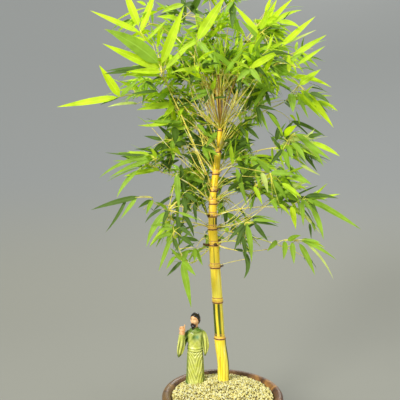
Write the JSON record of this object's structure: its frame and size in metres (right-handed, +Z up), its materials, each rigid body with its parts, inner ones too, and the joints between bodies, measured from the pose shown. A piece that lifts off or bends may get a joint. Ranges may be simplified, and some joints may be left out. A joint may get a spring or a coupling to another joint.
{
  "type": "potted bamboo",
  "caption": "Tall golden bamboo with one striped culm and tiers of lance-shaped leaves, in a round glazed pot topped with pale gravel, with a small ceramic scholar at its foot",
  "frame": {"origin": "centre of the pot's flat underside, which stands on the floor", "axes": "+Z up along the culm, +X to the right of the front view, front faces -Y"},
  "size_m": [0.7514, 0.5417, 1.2323],
  "materials": {
    "pot_glaze": "dark brown glaze breaking to tan on the lip",
    "gravel": "matt cream grains with olive shadows",
    "culm": "smooth waxy golden culm with green stripes and brown nodes",
    "branch": "satin straw-yellow branches with papery sheaths",
    "foliage": "satin leaves from lime to deep green",
    "figure_glaze": "glossy yellow-green glaze pooling darker in the folds",
    "figure_skin": "unglazed tan clay"
  },
  "bodies": {
    "root": {"pot": "pot_glaze", "gravel": "gravel", "culm": "culm", "branch_low_back": "branch", "branch_low_front": "branch", "branch_low_inner": "branch", "branch_low_left": "branch", "branch_low_right": "branch", "branch_middle_back": "branch", "branch_middle_inner": "branch", "branch_middle_left": "branch", "branch_middle_rear": "branch", "branch_middle_right": "branch", "branch_skirt_back": "branch", "branch_skirt_front": "branch", "branch_skirt_left": "branch", "branch_skirt_right": "branch", "branch_top_back": "branch", "branch_top_inner": "branch", "branch_top_left": "branch", "branch_top_outer": "branch", "branch_top_right": "branch", "branch_upper_back": "branch", "branch_upper_fore": "branch", "branch_upper_front": "branch", "branch_upper_inner": "branch", "branch_upper_left": "branch", "branch_upper_rear": "branch", "branch_upper_right": "branch", "foliage_low_back": "foliage", "foliage_low_front": "foliage", "foliage_low_inner": "foliage", "foliage_low_left": "foliage", "foliage_low_right": "foliage", "foliage_middle_back": "foliage", "foliage_middle_inner": "foliage", "foliage_middle_left": "foliage", "foliage_middle_rear": "foliage", "foliage_middle_right": "foliage", "foliage_skirt_back": "foliage", "foliage_skirt_front": "foliage", "foliage_skirt_left": "foliage", "foliage_skirt_right": "foliage", "foliage_top_back": "foliage", "foliage_top_centre": "foliage", "foliage_top_inner": "foliage", "foliage_top_left": "foliage", "foliage_top_outer": "foliage", "foliage_top_right": "foliage", "foliage_top_tip": "foliage", "foliage_upper_back": "foliage", "foliage_upper_fore": "foliage", "foliage_upper_front": "foliage", "foliage_upper_inner": "foliage", "foliage_upper_left": "foliage", "foliage_upper_rear": "foliage", "foliage_upper_right": "foliage", "figure_robe": "figure_glaze", "figure_head": "figure_skin", "figure_hand": "figure_skin"}
  },
  "joints": []
}
